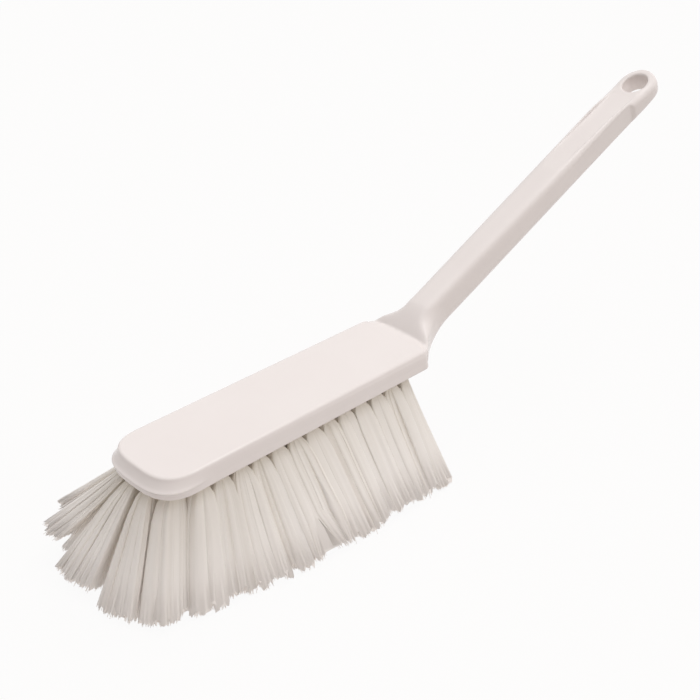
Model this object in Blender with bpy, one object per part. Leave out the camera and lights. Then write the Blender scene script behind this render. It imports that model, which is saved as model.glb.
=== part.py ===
"""A long-handled hand broom: one moulded block with an upswept handle, and its filament tufts.

Metres, +Z up. The origin is the middle of the block's flat top. +X runs from the toe to the handle
and the broom is symmetric about Y = 0, but for the swept tufts at the toe.
"""

import math

import bmesh
import bpy
import numpy as np
from mathutils import Matrix, Vector

for old in list(bpy.data.objects):
    bpy.data.objects.remove(old, do_unlink=True)

# Block
BLOCK_LENGTH = 0.1655
BLOCK_WIDTH = 0.0458
BLOCK_HEIGHT = 0.0104
TOE_EDGE_RADIUS = 0.0012
HEEL_EDGE_RADIUS = 0.0022
BOTTOM_EDGE_CHAMFER = 0.0004
TOE_LENGTH = 0.021
TOE_SQUARENESS = 3.1
SIDE_FLARE = 0.0014
TOE_FLARE = 0.0031
TOE_BLEND_LENGTH = 0.027
LIP_DEPTH = 0.0062
LIP_THICKNESS = 0.0010
LIP_SETBACK = 0.0008
HEEL_BULGE = 0.0070
HEEL_CORNER_RADIUS = 0.0028

# Handle, measured along and across its own straight axis
HANDLE_RISE = math.radians(24.2)
HANDLE_LENGTH = 0.2172
HANDLE_TOP_ABOVE_HEEL = 0.0040
NECK_HALF_WIDTH = 0.0079
OUTER_HALF_WIDTH = 0.0104
EYE_HALF_WIDTH = 0.0117
NECK_HALF_THICKNESS = 0.0100
OUTER_HALF_THICKNESS = 0.0083
NECK_SQUARENESS = 4.2
SHOULDER_SQUARENESS = 9.0
EYE_SQUARENESS = 3.6
EYE_ROUNDING_LENGTH = 0.026
EYE_DROOP = 0.0034
EYE_DROOP_LENGTH = 0.032
EYE_RAISE = 0.0022
EYE_END_RADIUS = 0.0124
EYE_END_SQUARENESS = 2.45
EYE_TIP_ANGLE = math.radians(84)

# Neck, where the handle grows out of the heel
FOOT_START = 0.0040
FOOT_LENGTH = 0.0140
FOOT_EASE_POWER = 1.5
FOOT_SUNK = 0.0005
HEEL_FILLET = 0.0030
HEEL_COVER = 0.0010
SHOULDER_WIDTH = 0.0162
SHOULDER_LENGTH = 0.033
SHOULDER_FULL_HEIGHT = 0.0105
SHOULDER_FADE_HEIGHT = 0.0182
SHOULDER_PLACE_SHARE = 0.7
NECK_START = 0.0022
NECK_LENGTH = 0.040
NECK_TILT_SHARE = 0.6

# Hanging hole and the scoops beside it
HOLE_HALF_LENGTH = 0.0081
HOLE_HALF_WIDTH = 0.0068
HOLE_CHAMFER = 0.0008
BORE_DRAFT = 0.0007
SCOOP_LENGTH = 0.070
SCOOP_DEPTH = 0.0015
SCOOP_FROM_HOLE = 0.0183
SCOOP_RAMP = 0.0022
SCOOP_HALF_HEIGHT = 0.0062
TROUGH_LENGTH = 0.085
TROUGH_DEPTH = 0.0007
TROUGH_RIM = 0.0034
TROUGH_END_SHARE = 0.85

# Tufts
TUFTS_PER_ROW = 13
STAGGER_SHARE = 0.5
FIRST_TUFT_FROM_HEEL = 0.0130
LAST_TUFT_FROM_TIP = 0.01625
OUTER_ROW_Y = 0.0172
INNER_ROW_Y = 0.0058
TOE_OUTER_FROM_TIP = 0.0100
TOE_OUTER_Y = 0.0138
TOE_INNER_FROM_TIP = 0.0058
TOE_INNER_Y = 0.0048
TUFT_HOLE_RADIUS = 0.0026
TUFT_HOLE_DEPTH = 0.0066
TUFT_CLEARANCE = 0.0003
STRANDS_PER_TUFT = 8
STRAND_LENGTH = 0.072
STRAND_LENGTH_SPREAD = 0.0012
TUFT_REACH = 0.0685
CUT_DEPTH = 0.0005
ROOT_COLLAR = 0.0006
TUFT_TIP_GAP = 0.0005
TUFT_SPREAD_SHARES = (0.55, 1.0)
STRAND_GAP = 0.0003

# Lean of the tufts, as sideways run over drop
HEEL_LEAN_SHARE = 0.20
MIDDLE_LEAN_SHARE = 0.24
TOE_LEAN_SHARE = 0.36
TOE_LEAN_TWIST_SHARE = 0.20
SIDE_LEAN_SHARE = 0.36
TOE_SIDE_LEAN_SHARES = (0.20, 0.45, 0.60)
TOE_LEAN_START_SHARE = 0.52

# How finely curves are drawn
TOE_POINTS = 17
CORNER_POINTS = 4
HEEL_POINTS = 5
SIDE_POINTS = 4
EDGE_STEPS = 4
SECTION_POINTS = 28
NECK_STATIONS = 13
HANDLE_STATIONS = 7
EYE_STATIONS = 8
HOLE_SIDES = 28
TUFT_HOLE_SIDES = 12
SIDE_SPACING_POWER = 1.5
NECK_SPACING_POWER = 1.25
SHARP_ANGLE = math.radians(35)
OVERRUN = 0.002

HEEL_X = BLOCK_LENGTH / 2
TOE_X = -BLOCK_LENGTH / 2
HALF_WIDTH = BLOCK_WIDTH / 2
TUFT_PITCH = (BLOCK_LENGTH - FIRST_TUFT_FROM_HEEL - LAST_TUFT_FROM_TIP) / (TUFTS_PER_ROW - 1 + STAGGER_SHARE)
TUFT_TIP_RADIUS = (TUFT_PITCH - TUFT_TIP_GAP) / 2


def smooth(t):
    """0 to 1 with level ends."""
    t = min(max(t, 0.0), 1.0)
    return t * t * (3 - 2 * t)


def mix(a, b, t):
    return a + (b - a) * t


def new_collection(name):
    made = bpy.data.collections.new(name)
    bpy.context.scene.collection.children.link(made)
    return made


PARTS = new_collection("hand_broom")
CUTTERS = new_collection("cutters")


def plastic(name, colour, roughness):
    made = bpy.data.materials.new(name)
    made.use_nodes = True
    shader = made.node_tree.nodes["Principled BSDF"]
    shader.inputs["Base Color"].default_value = (*colour, 1)
    shader.inputs["Roughness"].default_value = roughness
    shader.inputs["Metallic"].default_value = 0
    return made


def add_object(name, mesh, collection, material=None):
    made = bpy.data.objects.new(name, mesh)
    collection.objects.link(made)
    if material:
        mesh.materials.append(material)
    if collection is CUTTERS:
        made.hide_render = True
        made.display_type = "WIRE"
    return made


def mesh_from(name, build, smooth_shaded=False):
    """A mesh made by build(bm), in triangles because Booleans need flat faces, with its normals facing out."""
    bm = bmesh.new()
    build(bm)
    bmesh.ops.triangulate(bm, faces=bm.faces)
    bmesh.ops.recalc_face_normals(bm, faces=bm.faces)
    mesh = bpy.data.meshes.new(name)
    bm.to_mesh(mesh)
    bm.free()
    if smooth_shaded:
        mesh.shade_smooth()
        mesh.set_sharp_from_angle(angle=SHARP_ANGLE)
    return mesh


def loft(bm, rings):
    """Skins a list of rings of equally many points and closes both ends."""
    made = [[bm.verts.new(point) for point in ring] for ring in rings]
    for low, high in zip(made, made[1:]):
        for k in range(len(low)):
            following = (k + 1) % len(low)
            bm.faces.new((low[k], low[following], high[following], high[k]))
    bm.faces.new(made[0][::-1])
    bm.faces.new(made[-1])


def boolean(target, operation, operand):
    modifier = target.modifiers.new(operation.lower(), "BOOLEAN")
    modifier.operation = operation
    modifier.solver = "EXACT"
    if isinstance(operand, bpy.types.Collection):
        modifier.operand_type = "COLLECTION"
        modifier.collection = operand
    else:
        modifier.object = operand


# Block


def heel_curve(y):
    return HEEL_X + HEEL_BULGE * (1 - (y / HALF_WIDTH) ** 2)


def block_outline():
    """The block's outline at its top edge, anticlockwise from above, starting at the near heel corner."""
    radius = HEEL_CORNER_RADIUS
    turn = math.atan(2 * HEEL_BULGE / HALF_WIDTH)
    centre_y = HALF_WIDTH - radius
    centre_x = heel_curve(centre_y + radius * math.sin(turn)) - radius * math.cos(turn)
    quarter = []
    for k in range(CORNER_POINTS + 1):
        angle = mix(turn, math.pi / 2, k / CORNER_POINTS)
        quarter.append((centre_x + radius * math.cos(angle), centre_y + radius * math.sin(angle)))
    heel = []
    for k in range(1, HEEL_POINTS + 1):
        y = mix(-quarter[0][1], quarter[0][1], k / (HEEL_POINTS + 1))
        heel.append((heel_curve(y), y))
    side_start = TOE_X + TOE_LENGTH
    side = []
    for k in range(1, SIDE_POINTS + 1):
        x = mix(side_start, centre_x, (k / (SIDE_POINTS + 1)) ** SIDE_SPACING_POWER)
        side.append((x, HALF_WIDTH))
    toe = []
    for k in range(TOE_POINTS):
        angle = mix(math.pi / 2, -math.pi / 2, k / (TOE_POINTS - 1))
        power = 2 / TOE_SQUARENESS
        across = math.copysign(abs(math.sin(angle)) ** power, angle)
        toe.append((side_start - TOE_LENGTH * math.cos(angle) ** power, HALF_WIDTH * across))
    points = [(x, -y) for x, y in quarter[::-1]] + heel + quarter
    points += side[::-1] + toe + [(x, -y) for x, y in side]
    return np.array(points)


def outward(points):
    """Unit normals of a closed outline."""
    along = np.roll(points, -1, axis=0) - np.roll(points, 1, axis=0)
    along /= np.linalg.norm(along, axis=1)[:, None]
    return np.stack([along[:, 1], -along[:, 0]], axis=1)


def block_levels(edge_radius):
    """(depth, offset at the sides, offset at the toe) of each ring, from the top down."""
    levels = []
    for k in range(EDGE_STEPS + 1):
        angle = math.pi / 2 * k / EDGE_STEPS
        offset = edge_radius * (math.sin(angle) - 1)
        levels.append((edge_radius * (1 - math.cos(angle)), offset, offset))
    lip_share = LIP_DEPTH / BLOCK_HEIGHT
    below_lip = LIP_DEPTH + LIP_THICKNESS
    low = BLOCK_HEIGHT - BOTTOM_EDGE_CHAMFER
    set_back = TOE_FLARE - LIP_SETBACK
    levels.append((LIP_DEPTH, SIDE_FLARE * lip_share, TOE_FLARE))
    levels.append((below_lip - LIP_THICKNESS / 2, SIDE_FLARE * lip_share, TOE_FLARE))
    levels.append((below_lip, SIDE_FLARE * below_lip / BLOCK_HEIGHT, set_back))
    levels.append((low, SIDE_FLARE, set_back))
    levels.append((BLOCK_HEIGHT, SIDE_FLARE - BOTTOM_EDGE_CHAMFER, set_back - BOTTOM_EDGE_CHAMFER))
    return levels


def block_mesh():
    outline = block_outline()
    columns = []
    for (x, y), (out_x, out_y) in zip(outline, outward(outline)):
        toe_weight = smooth((TOE_X + TOE_BLEND_LENGTH - x) / TOE_BLEND_LENGTH)
        edge_radius = mix(TOE_EDGE_RADIUS, HEEL_EDGE_RADIUS, smooth((x - TOE_X) / BLOCK_LENGTH))
        column = []
        for depth, at_sides, at_toe in block_levels(edge_radius)[::-1]:
            offset = mix(at_sides, at_toe, toe_weight)
            column.append((x + out_x * offset, y + out_y * offset, -depth))
        columns.append(column)
    return mesh_from("block", lambda bm: loft(bm, list(zip(*columns))), smooth_shaded=True)


# Handle


def handle_frame():
    """Axes of the handle: along it, across it and square to its top, from the foot of its top line."""
    along = Vector((math.cos(HANDLE_RISE), 0, math.sin(HANDLE_RISE)))
    up = Vector((-math.sin(HANDLE_RISE), 0, math.cos(HANDLE_RISE)))
    foot = Vector((HEEL_X, 0, HANDLE_TOP_ABOVE_HEEL))
    return foot, along, up


FOOT, ALONG, UP = handle_frame()
ACROSS = Vector((0, 1, 0))


def eye_share(distance):
    """0 along the straight handle, and 1 at the tip of the eye."""
    length = EYE_ROUNDING_LENGTH + EYE_END_RADIUS
    return smooth((distance - HANDLE_LENGTH + EYE_ROUNDING_LENGTH) / length)


def droop_share(distance):
    """0 along the straight handle, and 1 from the hanging hole on."""
    return smooth((distance - HANDLE_LENGTH + EYE_DROOP_LENGTH) / (EYE_DROOP_LENGTH - HOLE_HALF_LENGTH / 2))


def half_width_at(distance):
    straight = mix(NECK_HALF_WIDTH, OUTER_HALF_WIDTH, distance / HANDLE_LENGTH)
    widening = smooth((distance - HANDLE_LENGTH + EYE_ROUNDING_LENGTH) / EYE_ROUNDING_LENGTH)
    return mix(straight, EYE_HALF_WIDTH, widening)


def half_thickness_at(distance):
    return mix(NECK_HALF_THICKNESS, OUTER_HALF_THICKNESS, distance / HANDLE_LENGTH)


def section(top, bottom, half_width, shoulder=0.0, squareness=NECK_SQUARENESS):
    """A squarish round section between a top and a bottom point, widened low down by the shoulder."""
    centre = (top + bottom) / 2
    up = (top - bottom) / 2
    height = up.length * 2
    points = []
    for k in range(SECTION_POINTS):
        angle = math.tau * (k + 0.5) / SECTION_POINTS
        power = 2 / squareness
        share_y = math.copysign(abs(math.cos(angle)) ** power, math.cos(angle))
        share_z = math.copysign(abs(math.sin(angle)) ** power, math.sin(angle))
        over_bottom = height * (share_z + 1) / 2
        fade = (over_bottom - SHOULDER_FULL_HEIGHT) / (SHOULDER_FADE_HEIGHT - SHOULDER_FULL_HEIGHT)
        width = half_width + shoulder * (1 - smooth(fade))
        points.append(centre + ACROSS * width * share_y + up * share_z)
    return points


def neck_station(x):
    """The section that starts at the top this far behind the heel line."""
    slope = math.tan(HANDLE_RISE)
    top_line = HANDLE_TOP_ABOVE_HEEL + x * slope
    eased = min(max((x - FOOT_START) / FOOT_LENGTH, 0), 1)
    sunk = HANDLE_TOP_ABOVE_HEEL + FOOT_START * slope + FOOT_SUNK
    top = Vector((HEEL_X + x, 0, max(top_line - sunk * (1 - eased) ** FOOT_EASE_POWER, -FOOT_SUNK)))
    distance = x / math.cos(HANDLE_RISE)
    thickness = 2 * half_thickness_at(distance)
    tilt = smooth(x / (NECK_LENGTH * NECK_TILT_SHARE))
    bottom_x = x + thickness * math.sin(HANDLE_RISE) * tilt
    line = HANDLE_TOP_ABOVE_HEEL + bottom_x * slope - thickness / math.cos(HANDLE_RISE)
    floor = HEEL_COVER - BLOCK_HEIGHT
    bottom_z = (line + floor + math.hypot(line - floor, HEEL_FILLET)) / 2
    bottom = Vector((HEEL_X + bottom_x, 0, bottom_z))
    beside = mix(x, bottom_x, SHOULDER_PLACE_SHARE)
    share = max(1 - beside / SHOULDER_LENGTH, 0)
    squareness = mix(NECK_SQUARENESS, SHOULDER_SQUARENESS, share**2)
    return section(top, bottom, half_width_at(distance), SHOULDER_WIDTH * share**2, squareness)


def handle_station(distance, half_width=None):
    rounding = eye_share(distance)
    top = FOOT + ALONG * distance
    bottom = top - UP * 2 * half_thickness_at(distance)
    squareness = mix(NECK_SQUARENESS, EYE_SQUARENESS, rounding)
    top -= UP * EYE_DROOP * droop_share(distance)
    bottom += UP * EYE_RAISE * rounding
    return section(top, bottom, half_width or half_width_at(distance), 0, squareness)


def handle_mesh():
    rings = []
    inside = section(
        Vector((HEEL_X - FOOT_START, 0, -FOOT_SUNK)),
        Vector((HEEL_X - FOOT_START, 0, HEEL_COVER - BLOCK_HEIGHT)),
        NECK_HALF_WIDTH,
        SHOULDER_WIDTH / 2,
    )
    rings.append(inside)
    for k in range(NECK_STATIONS):
        share = (k / (NECK_STATIONS - 1)) ** NECK_SPACING_POWER
        rings.append(neck_station(mix(NECK_START, NECK_LENGTH, share)))
    start = NECK_LENGTH / math.cos(HANDLE_RISE)
    for k in range(1, HANDLE_STATIONS + 1):
        distance = mix(start, HANDLE_LENGTH, k / HANDLE_STATIONS)
        rings.append(handle_station(distance))
    for k in range(1, EYE_STATIONS + 1):
        angle = EYE_TIP_ANGLE * k / EYE_STATIONS
        power = 2 / EYE_END_SQUARENESS
        distance = HANDLE_LENGTH + EYE_END_RADIUS * math.sin(angle) ** power
        rings.append(handle_station(distance, EYE_HALF_WIDTH * math.cos(angle) ** power))
    return mesh_from("handle", lambda bm: loft(bm, rings), smooth_shaded=True)


def along_handle(distance, across, up):
    """A place on the handle: distance along its top line, across it, and above it."""
    return FOOT + ALONG * distance + ACROSS * across + UP * up


def handle_matrix(distance, across, up):
    turn = Matrix((ALONG, ACROSS, UP)).transposed().to_4x4()
    return Matrix.Translation(along_handle(distance, across, up)) @ turn


def hanging_hole_cutter():
    """An oval bore that narrows downward, with a small chamfer at each face."""
    sunk = EYE_DROOP * droop_share(HANDLE_LENGTH)
    thickness = 2 * half_thickness_at(HANDLE_LENGTH) - EYE_RAISE * eye_share(HANDLE_LENGTH)

    def build(bm):
        levels = (
            (OVERRUN - sunk, HOLE_CHAMFER + OVERRUN),
            (-HOLE_CHAMFER - sunk, 0),
            (HOLE_CHAMFER - thickness, -BORE_DRAFT),
            (-thickness - OVERRUN, HOLE_CHAMFER + OVERRUN - BORE_DRAFT),
        )
        rings = []
        for z, wider in levels:
            ring = []
            for k in range(HOLE_SIDES):
                angle = math.tau * (k + 0.5) / HOLE_SIDES
                x = (HOLE_HALF_LENGTH + wider) * math.cos(angle)
                y = (HOLE_HALF_WIDTH + wider) * math.sin(angle)
                ring.append((x, y, z))
            rings.append(ring)
        loft(bm, rings)

    cutter = add_object("hanging_hole_cut", mesh_from("hanging_hole_cut", build), CUTTERS)
    cutter.matrix_world = handle_matrix(HANDLE_LENGTH, 0, 0)
    return cutter


def scoop_cutter(side):
    """A wedge that thins the handle's side toward the eye, where it ends in a short ramp."""
    step = HANDLE_LENGTH - SCOOP_FROM_HOLE
    start = step - SCOOP_LENGTH
    outer = half_width_at(HANDLE_LENGTH) + OVERRUN
    stations = ((start, 0), (step, SCOOP_DEPTH), (step + SCOOP_RAMP, 0), (step + 2 * SCOOP_RAMP, -SCOOP_DEPTH))

    def build(bm):
        rings = []
        for distance, depth in stations:
            inner = half_width_at(distance) - depth
            middle = -half_thickness_at(distance)
            ring = []
            for share in (-1, 1):
                ring.append(along_handle(distance, side * inner, middle + share * SCOOP_HALF_HEIGHT))
            for share in (1, -1):
                ring.append(along_handle(distance, side * outer, middle + share * (SCOOP_HALF_HEIGHT + OVERRUN)))
            rings.append(ring)
        loft(bm, rings)

    name = "scoop_cut_near" if side < 0 else "scoop_cut_far"
    return add_object(name, mesh_from(name, build), CUTTERS)


def trough_cutter():
    """A shallow flat trough in the handle's top, which deepens toward the hanging hole and ends at its rim."""
    start = HANDLE_LENGTH - TROUGH_LENGTH
    end = HANDLE_LENGTH - HOLE_HALF_LENGTH / 2
    bend = end - HOLE_HALF_LENGTH
    stations = (
        (start, 0, half_width_at(start) - TROUGH_RIM),
        (bend, TROUGH_DEPTH, half_width_at(bend) - TROUGH_RIM),
        (end, 0, HOLE_HALF_WIDTH * TROUGH_END_SHARE),
    )

    def build(bm):
        rings = []
        for distance, depth, half_width in stations:
            floor = -depth - EYE_DROOP * droop_share(distance)
            ring = []
            for across, up in ((-1, floor), (1, floor), (1, OVERRUN), (-1, OVERRUN)):
                ring.append(along_handle(distance, across * half_width, up))
            rings.append(ring)
        loft(bm, rings)

    return add_object("trough_cut", mesh_from("trough_cut", build), CUTTERS)


# Tufts


def tuft_places():
    """(name, x, y) of each tuft where it leaves the block's underside."""
    places = []
    rows = (("outer_near", -OUTER_ROW_Y, 0), ("inner_near", -INNER_ROW_Y, STAGGER_SHARE))
    rows += (("inner_far", INNER_ROW_Y, STAGGER_SHARE), ("outer_far", OUTER_ROW_Y, 0))
    for row, y, stagger in rows:
        for k in range(TUFTS_PER_ROW):
            x = HEEL_X - FIRST_TUFT_FROM_HEEL - TUFT_PITCH * (k + stagger)
            places.append((f"tuft_{row}_{k + 1:02d}", x, y))
    places.append(("tuft_toe_outer_near", TOE_X + TOE_OUTER_FROM_TIP, -TOE_OUTER_Y))
    places.append(("tuft_toe_inner_near", TOE_X + TOE_INNER_FROM_TIP, -TOE_INNER_Y))
    places.append(("tuft_toe_inner_far", TOE_X + TOE_INNER_FROM_TIP, TOE_INNER_Y))
    places.append(("tuft_toe_outer_far", TOE_X + TOE_OUTER_FROM_TIP, TOE_OUTER_Y))
    return places


def tuft_direction(x, y):
    """Unit direction of the tuft rooted at (x, y): fanned to the sides, and forward at the toe."""
    from_heel = (HEEL_X - x) / BLOCK_LENGTH
    toe = smooth((from_heel - TOE_LEAN_START_SHARE) / (1 - TOE_LEAN_START_SHARE))
    v = y / HALF_WIDTH
    backward = mix(HEEL_LEAN_SHARE, MIDDLE_LEAN_SHARE, smooth(from_heel / TOE_LEAN_START_SHARE))
    lean_x = mix(backward, -(TOE_LEAN_SHARE + TOE_LEAN_TWIST_SHARE * v), toe)
    constant, linear, square = TOE_SIDE_LEAN_SHARES
    lean_y = SIDE_LEAN_SHARE * v + toe * (constant + linear * v + square * v * v)
    return Vector((lean_x, lean_y, -1)).normalized()


def tuft_matrix(x, y):
    """Local Z runs down the tuft from its root at the block's underside."""
    direction = tuft_direction(x, y)
    turn = Vector((0, 0, 1)).rotation_difference(direction).to_matrix().to_4x4()
    return Matrix.Translation((x, y, -BLOCK_HEIGHT)) @ turn


def tuft_hole_cutter(name, x, y):
    mesh = mesh_from(
        name,
        lambda bm: bmesh.ops.create_cone(
            bm,
            cap_ends=True,
            segments=TUFT_HOLE_SIDES,
            radius1=TUFT_HOLE_RADIUS,
            radius2=TUFT_HOLE_RADIUS,
            depth=TUFT_HOLE_DEPTH + 2 * OVERRUN,
            matrix=Matrix.Translation((0, 0, OVERRUN - TUFT_HOLE_DEPTH / 2)),
        ),
    )
    cutter = add_object(name, mesh, TUFT_HOLES)
    cutter.matrix_world = tuft_matrix(x, y)
    cutter.hide_render = True
    cutter.display_type = "WIRE"


def tuft_mesh(name, x, y, chance):
    """A bundle's root, whose end face is parted into wedges that are drawn out into strands."""
    to_world = tuft_matrix(x, y)
    standing = -BLOCK_HEIGHT - TUFT_REACH + CUT_DEPTH
    slant = min(STRAND_LENGTH, TUFT_REACH / -tuft_direction(x, y).z)
    root = TUFT_HOLE_RADIUS * math.cos(math.pi / TUFT_HOLE_SIDES) - TUFT_CLEARANCE

    def build(bm):
        length = TUFT_HOLE_DEPTH - TUFT_CLEARANCE + ROOT_COLLAR
        bmesh.ops.create_cone(
            bm,
            cap_ends=True,
            segments=STRANDS_PER_TUFT,
            radius1=root,
            radius2=root,
            depth=length,
            matrix=Matrix.Translation((0, 0, ROOT_COLLAR - length / 2)),
        )
        end = max(bm.faces, key=lambda face: face.calc_center_median().z)
        wedges = bmesh.ops.poke(bm, faces=[end])["faces"]
        bmesh.ops.inset_individual(bm, faces=wedges, thickness=STRAND_GAP / 2, use_even_offset=True)
        tips = bmesh.ops.extrude_discrete_faces(bm, faces=wedges)["faces"]
        for tip in tips:
            start = tip.calc_center_median()
            aside = Vector((start.x, start.y, 0))
            spread = aside.normalized() * (TUFT_TIP_RADIUS - root) * chance.uniform(*TUFT_SPREAD_SHARES)
            reach = slant - STRAND_LENGTH_SPREAD * chance.random()
            shift = Vector((spread.x, spread.y, reach - start.z))
            for vert in tip.verts:
                vert.co = trimmed(vert.co, vert.co + shift, to_world, standing)

    return mesh_from(name, build)


def trimmed(low, high, to_world, standing):
    """The far end of a strand, drawn back to the plane that the broom stands on if it passes it."""
    a = to_world @ low
    b = to_world @ high
    if b.z >= standing:
        return high
    return low.lerp(high, (a.z - standing) / (a.z - b.z))


MOULDED = plastic("moulded_plastic", (0.86, 0.82, 0.80), 0.28)
FILAMENT = plastic("filament", (0.84, 0.81, 0.76), 0.45)

body = add_object("block_and_handle", block_mesh(), PARTS, MOULDED)
boolean(body, "UNION", add_object("handle_stock", handle_mesh(), CUTTERS))
boolean(body, "DIFFERENCE", trough_cutter())
boolean(body, "DIFFERENCE", hanging_hole_cutter())
boolean(body, "DIFFERENCE", scoop_cutter(-1))
boolean(body, "DIFFERENCE", scoop_cutter(1))

TUFT_HOLES = new_collection("tuft_holes")
chance = np.random.default_rng(7)
for name, x, y in tuft_places():
    tuft_hole_cutter(name.replace("tuft", "hole"), x, y)
    tuft = add_object(name, tuft_mesh(name, x, y, chance), PARTS, FILAMENT)
    tuft.matrix_world = tuft_matrix(x, y)
boolean(body, "DIFFERENCE", TUFT_HOLES)
flat_faces_stay_flat = body.modifiers.new("weighted_normal", "WEIGHTED_NORMAL")
flat_faces_stay_flat.keep_sharp = True
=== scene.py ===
"""Looks of the hand broom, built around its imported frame.

Metres, +Z up. The origin is the middle of the block's flat top and +X runs from the toe to the
handle. The body is drawn again from the frame's own sizes, finer and with soft moulded edges, and
each tuft becomes a bundle of filaments that lean, flare and end about where the frame's tuft does.
"""

import math

import bmesh
import bpy
import numpy as np
from mathutils import Matrix, Vector

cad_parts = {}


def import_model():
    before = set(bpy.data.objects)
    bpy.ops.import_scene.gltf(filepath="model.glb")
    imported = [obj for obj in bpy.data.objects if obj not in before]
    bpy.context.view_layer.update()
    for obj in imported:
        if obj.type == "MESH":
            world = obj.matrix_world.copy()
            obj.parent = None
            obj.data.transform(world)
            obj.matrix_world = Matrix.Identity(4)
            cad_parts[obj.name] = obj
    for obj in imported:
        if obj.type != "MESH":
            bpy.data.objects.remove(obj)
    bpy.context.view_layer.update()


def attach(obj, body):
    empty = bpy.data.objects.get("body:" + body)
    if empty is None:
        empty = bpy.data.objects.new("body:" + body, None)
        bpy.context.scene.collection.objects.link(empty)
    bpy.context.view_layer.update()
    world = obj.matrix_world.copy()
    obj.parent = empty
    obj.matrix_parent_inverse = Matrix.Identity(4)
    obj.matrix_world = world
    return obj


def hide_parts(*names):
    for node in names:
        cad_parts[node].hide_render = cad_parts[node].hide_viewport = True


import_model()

# Block, as in the frame
BLOCK_LENGTH = 0.1655
BLOCK_WIDTH = 0.0458
BLOCK_HEIGHT = 0.0104
TOE_EDGE_RADIUS = 0.0012
HEEL_EDGE_RADIUS = 0.0022
BOTTOM_EDGE_CHAMFER = 0.0004
TOE_LENGTH = 0.021
TOE_SQUARENESS = 3.1
SIDE_FLARE = 0.0014
TOE_FLARE = 0.0031
TOE_BLEND_LENGTH = 0.027
LIP_DEPTH = 0.0062
LIP_THICKNESS = 0.0010
LIP_SETBACK = 0.0008
LIP_BEAD = 0.0004
COVE_POWER = 1.3
HEEL_BULGE = 0.0070
HEEL_CORNER_RADIUS = 0.0028

# Handle, as in the frame, along and across its own straight axis
HANDLE_RISE = math.radians(24.2)
HANDLE_LENGTH = 0.2172
HANDLE_TOP_ABOVE_HEEL = 0.0040
NECK_HALF_WIDTH = 0.0079
OUTER_HALF_WIDTH = 0.0104
EYE_HALF_WIDTH = 0.0117
NECK_HALF_THICKNESS = 0.0100
OUTER_HALF_THICKNESS = 0.0083
NECK_SQUARENESS = 4.2
SHOULDER_SQUARENESS = 9.0
EYE_SQUARENESS = 3.6
EYE_ROUNDING_LENGTH = 0.026
EYE_DROOP = 0.0034
EYE_DROOP_LENGTH = 0.032
EYE_RAISE = 0.0022
EYE_END_RADIUS = 0.0124
EYE_END_SQUARENESS = 2.45
EYE_TIP_ANGLE = math.radians(84)

# Neck, where the handle grows out of the heel
FOOT_START = 0.0040
FOOT_LENGTH = 0.014
FOOT_EASE_POWER = 1.5
FOOT_SUNK = 0.0005
HEEL_FILLET = 0.0030
HEEL_COVER = 0.0010
SHOULDER_WIDTH = 0.0162
SHOULDER_LENGTH = 0.033
SHOULDER_FULL_HEIGHT = 0.0105
SHOULDER_FADE_HEIGHT = 0.0182
SHOULDER_PLACE_SHARE = 0.7
NECK_START = 0.0022
NECK_LENGTH = 0.040
NECK_TILT_SHARE = 0.6

# Hanging hole, scoops and trough
HOLE_HALF_LENGTH = 0.0081
HOLE_HALF_WIDTH = 0.0068
HOLE_CHAMFER = 0.0008
BORE_DRAFT = 0.0007
SCOOP_LENGTH = 0.070
SCOOP_DEPTH = 0.0015
SCOOP_FROM_HOLE = 0.0183
SCOOP_RAMP = 0.0022
SCOOP_HALF_HEIGHT = 0.0062
TROUGH_LENGTH = 0.085
TROUGH_DEPTH = 0.0007
TROUGH_RIM = 0.0034
TROUGH_END_SHARE = 0.85

# Tufts, as in the frame
TUFTS_PER_ROW = 13
STAGGER_SHARE = 0.5
FIRST_TUFT_FROM_HEEL = 0.0130
LAST_TUFT_FROM_TIP = 0.01625
OUTER_ROW_Y = 0.0172
INNER_ROW_Y = 0.0058
TOE_OUTER_FROM_TIP = 0.0100
TOE_OUTER_Y = 0.0138
TOE_INNER_FROM_TIP = 0.0058
TOE_INNER_Y = 0.0048
TUFT_HOLE_RADIUS = 0.0026
TUFT_HOLE_DEPTH = 0.0066
STRAND_LENGTH = 0.072
TUFT_REACH = 0.0685
CUT_DEPTH = 0.0005
TUFT_TIP_GAP = 0.0005
HEEL_LEAN_SHARE = 0.20
MIDDLE_LEAN_SHARE = 0.24
TOE_LEAN_SHARE = 0.36
TOE_LEAN_TWIST_SHARE = 0.20
SIDE_LEAN_SHARE = 0.36
TOE_SIDE_LEAN_SHARES = (0.20, 0.45, 0.60)
TOE_LEAN_START_SHARE = 0.52

# Filaments, gathered in locks, each round a core that stands for the filaments inside
RANDOM_SEED = 11
FILAMENTS_PER_TUFT = 200
FILAMENT_SIDES = 3
FILAMENT_RADIUS = 0.00022
FILAMENT_TIP_SHARE = 0.8
FILAMENT_STEPS = 6
STEP_POWER = 2.1
FLARE_POWER = 14
HEEL_FLARE_POWER = 1.5
TILE_SHARE = 1.08
TUFT_SIDE_RADIUS = 0.0058
TOE_SIDE_RADIUS = 0.0036
LOCK_HALF_WIDTH = 0.0024
LOCK_JITTER = 0.14
LOCK_TIGHTNESS = 0.85
LOCK_CUT_SPREAD = 0.0046
LOCK_SQUARENESS = 6
LOCK_SIDES = 24
LOCK_RIPPLE = 0.08
FILAMENT_CUT_SPREAD = 0.0018
BOW = 0.0004
STRAY_SHARE = 0.04
STRAY_SPREAD = 1.2
CORE_SHARE = 1.30
TOE_CORE_SHARE = 1.05
TOE_CORE_STRETCH = 2
CORE_SHORTER = 0.0008
CORE_CUT_SPREAD = 0.0042
TURN_SPREAD = 0.35
OUTWARD_ALONG_SHARE = 0.3
FAN_STEP = 0.002
LEAST_DROP = 1e-9
# Steps along the square's two sides whose multiples fill it evenly, and how far points leave them
EVEN_STEPS = np.array((0.7548777, 0.5698403))
EVEN_JITTER = 0.5

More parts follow.
